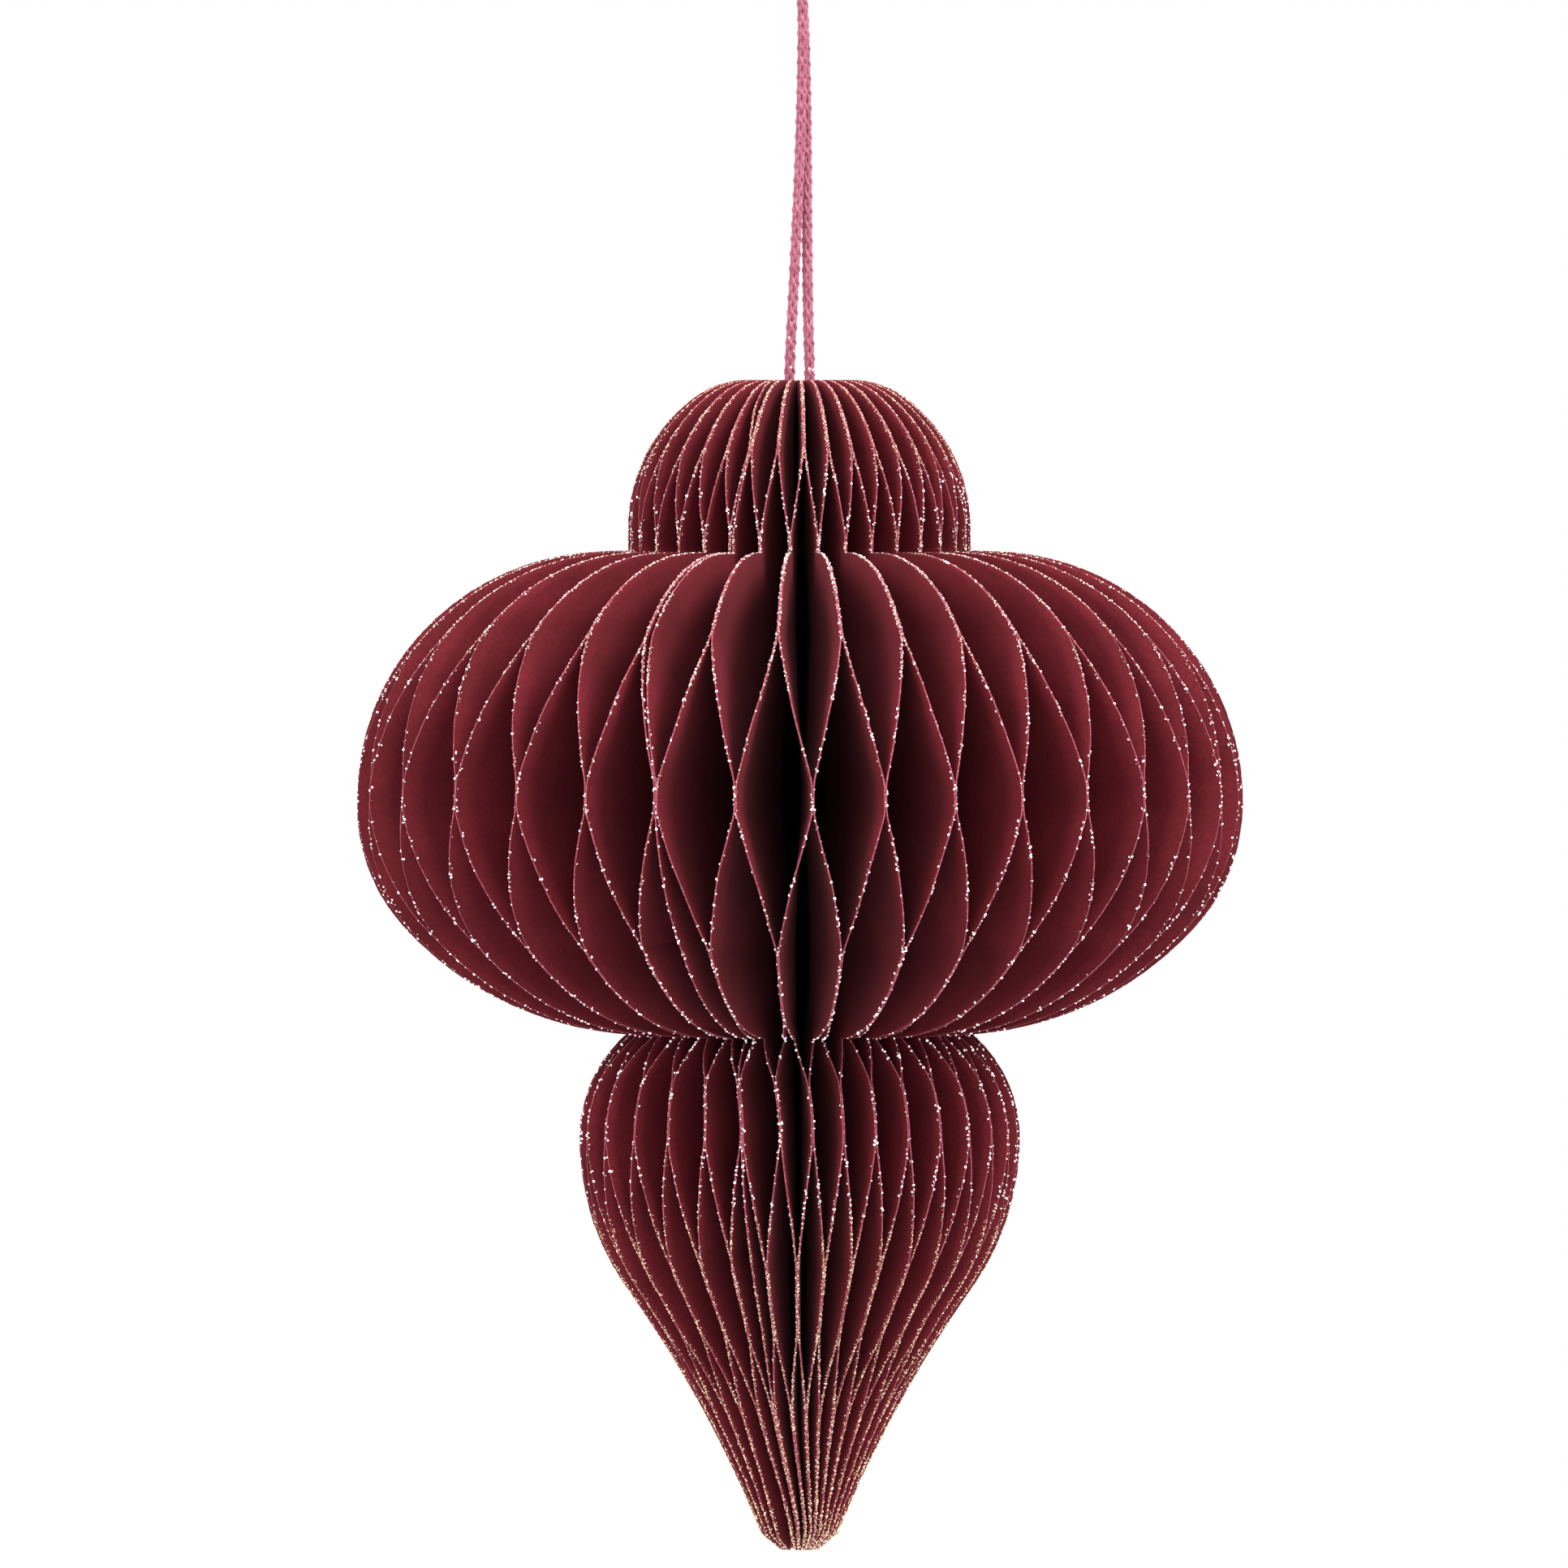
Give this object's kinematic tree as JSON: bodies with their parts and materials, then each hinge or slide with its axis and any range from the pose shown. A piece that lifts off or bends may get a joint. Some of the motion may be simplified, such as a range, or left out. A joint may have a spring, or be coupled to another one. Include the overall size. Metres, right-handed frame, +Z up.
{
  "type": "accordion paper lantern",
  "caption": "Hanging honeycomb lantern of glued card leaves, with a dome, a round body and a drop. It folds open like a book about its spine and hangs from a cotton cord loop.",
  "frame": {"origin": "point where the hanging loop bears on its hook, above the lantern on its upright axis", "axes": "+Z up along the spine, -Y towards the side seen from the front, +X to the viewer's right"},
  "size_m": [0.1146, 0.1146, 0.2075],
  "materials": {
    "card": "matte uncoated card dyed burgundy, with glittered edges",
    "cord": "braided matte cotton",
    "magnet": "nickel plated",
    "glue": "clear hot-melt glue"
  },
  "bodies": {
    "cover_left": {"cover_left": "card", "cover_left_end_leaf": "card", "closing_magnets_left": "magnet"},
    "pair_01": {"leaf_pair_01": "card"},
    "pair_02": {"leaf_pair_02": "card"},
    "pair_03": {"leaf_pair_03": "card"},
    "pair_04": {"leaf_pair_04": "card"},
    "pair_05": {"leaf_pair_05": "card"},
    "pair_06": {"leaf_pair_06": "card"},
    "pair_07": {"leaf_pair_07": "card"},
    "pair_08": {"leaf_pair_08": "card"},
    "pair_09": {"leaf_pair_09": "card"},
    "pair_10": {"leaf_pair_10": "card"},
    "pair_11": {"leaf_pair_11": "card"},
    "pair_12": {"leaf_pair_12": "card"},
    "pair_13": {"leaf_pair_13": "card"},
    "pair_14": {"leaf_pair_14": "card"},
    "pair_15": {"leaf_pair_15": "card"},
    "pair_16": {"leaf_pair_16": "card"},
    "pair_17": {"leaf_pair_17": "card"},
    "pair_18": {"leaf_pair_18": "card", "hanging_cord": "cord", "cord_knot": "cord", "spine_glue_plug": "glue"},
    "pair_19": {"leaf_pair_19": "card"},
    "pair_20": {"leaf_pair_20": "card"},
    "pair_21": {"leaf_pair_21": "card"},
    "pair_22": {"leaf_pair_22": "card"},
    "pair_23": {"leaf_pair_23": "card"},
    "pair_24": {"leaf_pair_24": "card"},
    "pair_25": {"leaf_pair_25": "card"},
    "pair_26": {"leaf_pair_26": "card"},
    "pair_27": {"leaf_pair_27": "card"},
    "pair_28": {"leaf_pair_28": "card"},
    "pair_29": {"leaf_pair_29": "card"},
    "pair_30": {"leaf_pair_30": "card"},
    "pair_31": {"leaf_pair_31": "card"},
    "pair_32": {"leaf_pair_32": "card"},
    "pair_33": {"leaf_pair_33": "card"},
    "pair_34": {"leaf_pair_34": "card"},
    "pair_35": {"leaf_pair_35": "card"},
    "cover_right": {"cover_right": "card", "closing_magnets_right": "magnet"}
  },
  "joints": [
    {"name": "fold_18", "type": "hinge", "parent": "pair_18", "child": "pair_17", "pos_m": [0.00092, 0.00385, -0.1094], "axis": [0, 0, -1], "range_deg": [0, 10]},
    {"name": "fold_17", "type": "hinge", "parent": "pair_17", "child": "pair_16", "pos_m": [0.00024, 0.00395, -0.1094], "axis": [0, 0, -1], "range_deg": [0, 10]},
    {"name": "fold_16", "type": "hinge", "parent": "pair_16", "child": "pair_15", "pos_m": [-0.00045, 0.00393, -0.1094], "axis": [0, 0, -1], "range_deg": [0, 10]},
    {"name": "fold_15", "type": "hinge", "parent": "pair_15", "child": "pair_14", "pos_m": [-0.00112, 0.0038, -0.1094], "axis": [0, 0, -1], "range_deg": [0, 10]},
    {"name": "fold_14", "type": "hinge", "parent": "pair_14", "child": "pair_13", "pos_m": [-0.00177, 0.00354, -0.1094], "axis": [0, 0, -1], "range_deg": [0, 10]},
    {"name": "fold_13", "type": "hinge", "parent": "pair_13", "child": "pair_12", "pos_m": [-0.00235, 0.00318, -0.1094], "axis": [0, 0, -1], "range_deg": [0, 10]},
    {"name": "fold_12", "type": "hinge", "parent": "pair_12", "child": "pair_11", "pos_m": [-0.00287, 0.00272, -0.1094], "axis": [0, 0, -1], "range_deg": [0, 10]},
    {"name": "fold_11", "type": "hinge", "parent": "pair_11", "child": "pair_10", "pos_m": [-0.0033, 0.00218, -0.1094], "axis": [0, 0, -1], "range_deg": [0, 10]},
    {"name": "fold_10", "type": "hinge", "parent": "pair_10", "child": "pair_09", "pos_m": [-0.00363, 0.00158, -0.1094], "axis": [0, 0, -1], "range_deg": [0, 10]},
    {"name": "fold_09", "type": "hinge", "parent": "pair_09", "child": "pair_08", "pos_m": [-0.00385, 0.00092, -0.1094], "axis": [0, 0, -1], "range_deg": [0, 10]},
    {"name": "fold_08", "type": "hinge", "parent": "pair_08", "child": "pair_07", "pos_m": [-0.00395, 0.00024, -0.1094], "axis": [0, 0, -1], "range_deg": [0, 10]},
    {"name": "fold_07", "type": "hinge", "parent": "pair_07", "child": "pair_06", "pos_m": [-0.00393, -0.00045, -0.1094], "axis": [0, 0, -1], "range_deg": [0, 10]},
    {"name": "fold_06", "type": "hinge", "parent": "pair_06", "child": "pair_05", "pos_m": [-0.0038, -0.00112, -0.1094], "axis": [0, 0, -1], "range_deg": [0, 10]},
    {"name": "fold_05", "type": "hinge", "parent": "pair_05", "child": "pair_04", "pos_m": [-0.00354, -0.00177, -0.1094], "axis": [0, 0, -1], "range_deg": [0, 10]},
    {"name": "fold_04", "type": "hinge", "parent": "pair_04", "child": "pair_03", "pos_m": [-0.00318, -0.00235, -0.1094], "axis": [0, 0, -1], "range_deg": [0, 10]},
    {"name": "fold_03", "type": "hinge", "parent": "pair_03", "child": "pair_02", "pos_m": [-0.00272, -0.00287, -0.1094], "axis": [0, 0, -1], "range_deg": [0, 10]},
    {"name": "fold_02", "type": "hinge", "parent": "pair_02", "child": "pair_01", "pos_m": [-0.00218, -0.0033, -0.1094], "axis": [0, 0, -1], "range_deg": [0, 10]},
    {"name": "fold_01", "type": "hinge", "parent": "pair_01", "child": "cover_left", "pos_m": [-0.0035, -0.00805, -0.1094], "axis": [0, 0, -1], "range_deg": [0, 10]},
    {"name": "fold_19", "type": "hinge", "parent": "pair_18", "child": "pair_19", "pos_m": [0.00158, 0.00363, -0.1094], "axis": [0, 0, 1], "range_deg": [0, 10]},
    {"name": "fold_20", "type": "hinge", "parent": "pair_19", "child": "pair_20", "pos_m": [0.00218, 0.0033, -0.1094], "axis": [0, 0, 1], "range_deg": [0, 10]},
    {"name": "fold_21", "type": "hinge", "parent": "pair_20", "child": "pair_21", "pos_m": [0.00272, 0.00287, -0.1094], "axis": [0, 0, 1], "range_deg": [0, 10]},
    {"name": "fold_22", "type": "hinge", "parent": "pair_21", "child": "pair_22", "pos_m": [0.00318, 0.00235, -0.1094], "axis": [0, 0, 1], "range_deg": [0, 10]},
    {"name": "fold_23", "type": "hinge", "parent": "pair_22", "child": "pair_23", "pos_m": [0.00354, 0.00177, -0.1094], "axis": [0, 0, 1], "range_deg": [0, 10]},
    {"name": "fold_24", "type": "hinge", "parent": "pair_23", "child": "pair_24", "pos_m": [0.0038, 0.00112, -0.1094], "axis": [0, 0, 1], "range_deg": [0, 10]},
    {"name": "fold_25", "type": "hinge", "parent": "pair_24", "child": "pair_25", "pos_m": [0.00393, 0.00045, -0.1094], "axis": [0, 0, 1], "range_deg": [0, 10]},
    {"name": "fold_26", "type": "hinge", "parent": "pair_25", "child": "pair_26", "pos_m": [0.00395, -0.00024, -0.1094], "axis": [0, 0, 1], "range_deg": [0, 10]},
    {"name": "fold_27", "type": "hinge", "parent": "pair_26", "child": "pair_27", "pos_m": [0.00385, -0.00092, -0.1094], "axis": [0, 0, 1], "range_deg": [0, 10]},
    {"name": "fold_28", "type": "hinge", "parent": "pair_27", "child": "pair_28", "pos_m": [0.00363, -0.00158, -0.1094], "axis": [0, 0, 1], "range_deg": [0, 10]},
    {"name": "fold_29", "type": "hinge", "parent": "pair_28", "child": "pair_29", "pos_m": [0.0033, -0.00218, -0.1094], "axis": [0, 0, 1], "range_deg": [0, 10]},
    {"name": "fold_30", "type": "hinge", "parent": "pair_29", "child": "pair_30", "pos_m": [0.00287, -0.00272, -0.1094], "axis": [0, 0, 1], "range_deg": [0, 10]},
    {"name": "fold_31", "type": "hinge", "parent": "pair_30", "child": "pair_31", "pos_m": [0.00235, -0.00318, -0.1094], "axis": [0, 0, 1], "range_deg": [0, 10]},
    {"name": "fold_32", "type": "hinge", "parent": "pair_31", "child": "pair_32", "pos_m": [0.00177, -0.00354, -0.1094], "axis": [0, 0, 1], "range_deg": [0, 10]},
    {"name": "fold_33", "type": "hinge", "parent": "pair_32", "child": "pair_33", "pos_m": [0.00112, -0.0038, -0.1094], "axis": [0, 0, 1], "range_deg": [0, 10]},
    {"name": "fold_34", "type": "hinge", "parent": "pair_33", "child": "pair_34", "pos_m": [0.00045, -0.00393, -0.1094], "axis": [0, 0, 1], "range_deg": [0, 10]},
    {"name": "fold_35", "type": "hinge", "parent": "pair_34", "child": "pair_35", "pos_m": [-0.00024, -0.00395, -0.1094], "axis": [0, 0, 1], "range_deg": [0, 10]},
    {"name": "fold_36", "type": "hinge", "parent": "pair_35", "child": "cover_right", "pos_m": [-0.00205, -0.00853, -0.1094], "axis": [0, 0, 1], "range_deg": [0, 10]}
  ],
  "couplings": [
    {"joint": "fold_17", "follows": "fold_18", "ratio": 1},
    {"joint": "fold_16", "follows": "fold_18", "ratio": 1},
    {"joint": "fold_15", "follows": "fold_18", "ratio": 1},
    {"joint": "fold_14", "follows": "fold_18", "ratio": 1},
    {"joint": "fold_13", "follows": "fold_18", "ratio": 1},
    {"joint": "fold_12", "follows": "fold_18", "ratio": 1},
    {"joint": "fold_11", "follows": "fold_18", "ratio": 1},
    {"joint": "fold_10", "follows": "fold_18", "ratio": 1},
    {"joint": "fold_09", "follows": "fold_18", "ratio": 1},
    {"joint": "fold_08", "follows": "fold_18", "ratio": 1},
    {"joint": "fold_07", "follows": "fold_18", "ratio": 1},
    {"joint": "fold_06", "follows": "fold_18", "ratio": 1},
    {"joint": "fold_05", "follows": "fold_18", "ratio": 1},
    {"joint": "fold_04", "follows": "fold_18", "ratio": 1},
    {"joint": "fold_03", "follows": "fold_18", "ratio": 1},
    {"joint": "fold_02", "follows": "fold_18", "ratio": 1},
    {"joint": "fold_01", "follows": "fold_18", "ratio": 1},
    {"joint": "fold_19", "follows": "fold_18", "ratio": 1},
    {"joint": "fold_20", "follows": "fold_18", "ratio": 1},
    {"joint": "fold_21", "follows": "fold_18", "ratio": 1},
    {"joint": "fold_22", "follows": "fold_18", "ratio": 1},
    {"joint": "fold_23", "follows": "fold_18", "ratio": 1},
    {"joint": "fold_24", "follows": "fold_18", "ratio": 1},
    {"joint": "fold_25", "follows": "fold_18", "ratio": 1},
    {"joint": "fold_26", "follows": "fold_18", "ratio": 1},
    {"joint": "fold_27", "follows": "fold_18", "ratio": 1},
    {"joint": "fold_28", "follows": "fold_18", "ratio": 1},
    {"joint": "fold_29", "follows": "fold_18", "ratio": 1},
    {"joint": "fold_30", "follows": "fold_18", "ratio": 1},
    {"joint": "fold_31", "follows": "fold_18", "ratio": 1},
    {"joint": "fold_32", "follows": "fold_18", "ratio": 1},
    {"joint": "fold_33", "follows": "fold_18", "ratio": 1},
    {"joint": "fold_34", "follows": "fold_18", "ratio": 1},
    {"joint": "fold_35", "follows": "fold_18", "ratio": 1},
    {"joint": "fold_36", "follows": "fold_18", "ratio": 1}
  ]
}
